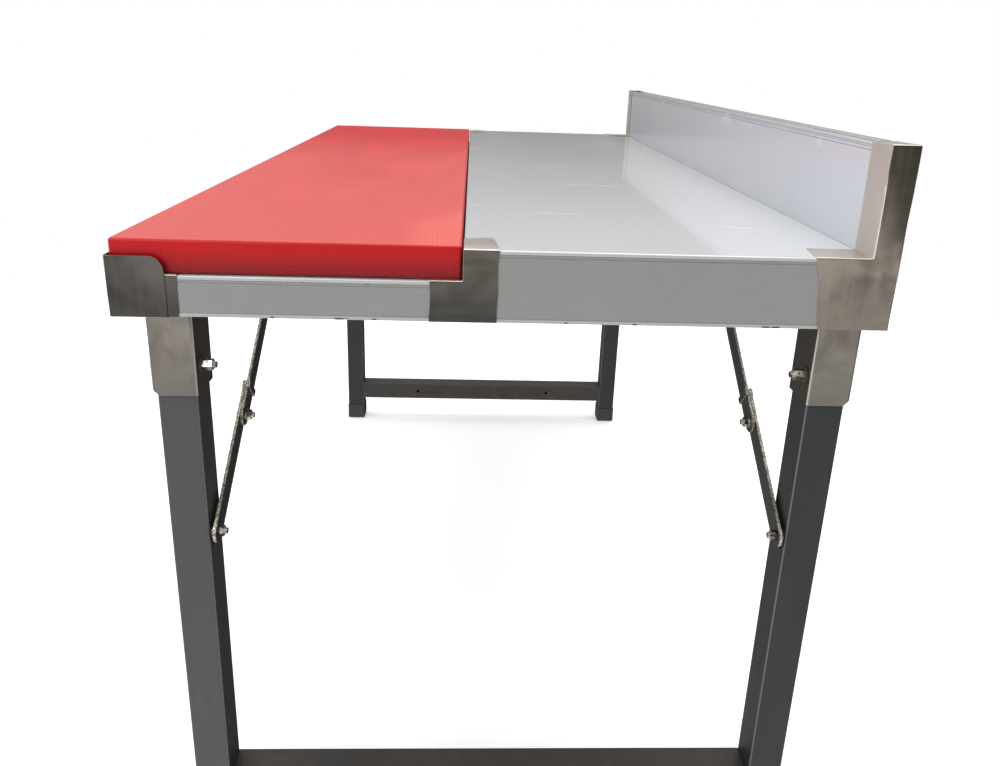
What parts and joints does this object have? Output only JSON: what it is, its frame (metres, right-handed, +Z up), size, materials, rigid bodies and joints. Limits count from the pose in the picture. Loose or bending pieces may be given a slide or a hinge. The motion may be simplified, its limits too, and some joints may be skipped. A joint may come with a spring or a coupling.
{
  "type": "folding butcher's table with a cutting board",
  "caption": "Folding butcher's table: stepped metal-edged top with a rear upstand, a lift-off red cutting board on the lower front ledge, and leg pairs on two-bar stays.",
  "frame": {"origin": "on the floor, under the middle of the table", "axes": "+X to the right along the table, +Y from the worker's side to the upstand, +Z up"},
  "size_m": [1.5048, 0.9036, 1.0462],
  "materials": {
    "faced_panel": "satin",
    "upstand_section": "satin",
    "table_section": "satin",
    "frame_beam": "satin",
    "cover_steel": "satin",
    "bracket_steel": "satin",
    "board_red": "matte",
    "leg_paint": "satin",
    "foot_plastic": "matte",
    "stay_paint": "satin",
    "bolt_steel": "satin",
    "washer_black": "matte"
  },
  "bodies": {
    "table_top": {"deck_panel": "faced_panel", "ledge_panel": "faced_panel", "upstand_profile": "upstand_section", "front_rail": "table_section", "rear_rail": "table_section", "step_riser": "table_section", "ledge_apron_right": "table_section", "ledge_apron_left": "table_section", "deck_apron_right": "table_section", "deck_apron_left": "table_section", "deck_stringer": "frame_beam", "leg_beam_right": "frame_beam", "leg_beam_left": "frame_beam", "stay_beam_right": "frame_beam", "stay_beam_left": "frame_beam", "corner_liner_right": "cover_steel", "corner_liner_left": "cover_steel", "corner_stop_right": "cover_steel", "corner_stop_left": "cover_steel", "step_cover_right": "cover_steel", "step_cover_left": "cover_steel", "upstand_cap_right": "cover_steel", "upstand_cap_left": "cover_steel", "leg_bracket_right_front": "bracket_steel", "leg_bracket_right_rear": "bracket_steel", "leg_bracket_left_front": "bracket_steel", "leg_bracket_left_rear": "bracket_steel", "pivot_washers": "washer_black", "pivot_bolts": "bolt_steel", "pivot_nuts": "bolt_steel", "stay_top_bolts": "bolt_steel"},
    "right_legs": {"leg_right_front": "leg_paint", "leg_right_rear": "leg_paint", "crossbar_right": "leg_paint", "foot_right_front": "foot_plastic", "foot_right_rear": "foot_plastic", "stay_foot_bolts_right": "bolt_steel"},
    "left_legs": {"leg_left_front": "leg_paint", "leg_left_rear": "leg_paint", "crossbar_left": "leg_paint", "foot_left_front": "foot_plastic", "foot_left_rear": "foot_plastic", "stay_foot_bolts_left": "bolt_steel"},
    "right_front_lower_bar": {"lower_bar_right_front": "stay_paint", "knee_bolt_right_front": "bolt_steel"},
    "right_front_upper_bar": {"upper_bar_right_front": "stay_paint", "knee_nut_right_front": "bolt_steel"},
    "right_rear_lower_bar": {"lower_bar_right_rear": "stay_paint", "knee_bolt_right_rear": "bolt_steel"},
    "right_rear_upper_bar": {"upper_bar_right_rear": "stay_paint", "knee_nut_right_rear": "bolt_steel"},
    "left_front_lower_bar": {"lower_bar_left_front": "stay_paint", "knee_bolt_left_front": "bolt_steel"},
    "left_front_upper_bar": {"upper_bar_left_front": "stay_paint", "knee_nut_left_front": "bolt_steel"},
    "left_rear_lower_bar": {"lower_bar_left_rear": "stay_paint", "knee_bolt_left_rear": "bolt_steel"},
    "left_rear_upper_bar": {"upper_bar_left_rear": "stay_paint", "knee_nut_left_rear": "bolt_steel"},
    "board": {"cutting_board": "board_red"}
  },
  "joints": [
    {"name": "right_fold", "type": "hinge", "parent": "table_top", "child": "right_legs", "pos_m": [0.707, 0.00475, 0.753], "axis": [0, 1, 0], "range_deg": [0, 90]},
    {"name": "right_front_lower_bar_turn", "type": "hinge", "parent": "right_legs", "child": "right_front_lower_bar", "pos_m": [0.707, -0.3667, 0.519], "axis": [0, 1, 0], "range_deg": [0, 48]},
    {"name": "right_front_upper_bar_turn", "type": "hinge", "parent": "table_top", "child": "right_front_upper_bar", "pos_m": [0.364, -0.3624, 0.796], "axis": [0, 1, 0], "range_deg": [-31.82, 0]},
    {"name": "right_rear_lower_bar_turn", "type": "hinge", "parent": "right_legs", "child": "right_rear_lower_bar", "pos_m": [0.707, 0.3762, 0.519], "axis": [0, 1, 0], "range_deg": [0, 48]},
    {"name": "right_rear_upper_bar_turn", "type": "hinge", "parent": "table_top", "child": "right_rear_upper_bar", "pos_m": [0.364, 0.3719, 0.796], "axis": [0, 1, 0], "range_deg": [-31.82, 0]},
    {"name": "left_fold", "type": "hinge", "parent": "table_top", "child": "left_legs", "pos_m": [-0.707, 0.00475, 0.753], "axis": [0, -1, 0], "range_deg": [0, 85]},
    {"name": "left_front_lower_bar_turn", "type": "hinge", "parent": "left_legs", "child": "left_front_lower_bar", "pos_m": [-0.707, -0.3667, 0.519], "axis": [0, -1, 0], "range_deg": [0, 47.62]},
    {"name": "left_front_upper_bar_turn", "type": "hinge", "parent": "table_top", "child": "left_front_upper_bar", "pos_m": [-0.364, -0.3624, 0.796], "axis": [0, -1, 0], "range_deg": [-30.78, 0]},
    {"name": "left_rear_lower_bar_turn", "type": "hinge", "parent": "left_legs", "child": "left_rear_lower_bar", "pos_m": [-0.707, 0.3762, 0.519], "axis": [0, -1, 0], "range_deg": [0, 47.62]},
    {"name": "left_rear_upper_bar_turn", "type": "hinge", "parent": "table_top", "child": "left_rear_upper_bar", "pos_m": [-0.364, 0.3719, 0.796], "axis": [0, -1, 0], "range_deg": [-30.78, 0]},
    {"name": "board_lift", "type": "slide", "parent": "table_top", "child": "board", "axis": [0, 0, 1], "range_m": [0, 0.3]}
  ],
  "couplings": [
    {"joint": "right_front_lower_bar_turn", "follows": "right_fold", "ratio": 0.5333},
    {"joint": "right_front_upper_bar_turn", "follows": "right_fold", "ratio": -0.3535},
    {"joint": "right_rear_lower_bar_turn", "follows": "right_fold", "ratio": 0.5333},
    {"joint": "right_rear_upper_bar_turn", "follows": "right_fold", "ratio": -0.3535},
    {"joint": "left_front_lower_bar_turn", "follows": "left_fold", "ratio": 0.5602},
    {"joint": "left_front_upper_bar_turn", "follows": "left_fold", "ratio": -0.36202},
    {"joint": "left_rear_lower_bar_turn", "follows": "left_fold", "ratio": 0.5602},
    {"joint": "left_rear_upper_bar_turn", "follows": "left_fold", "ratio": -0.36202}
  ]
}
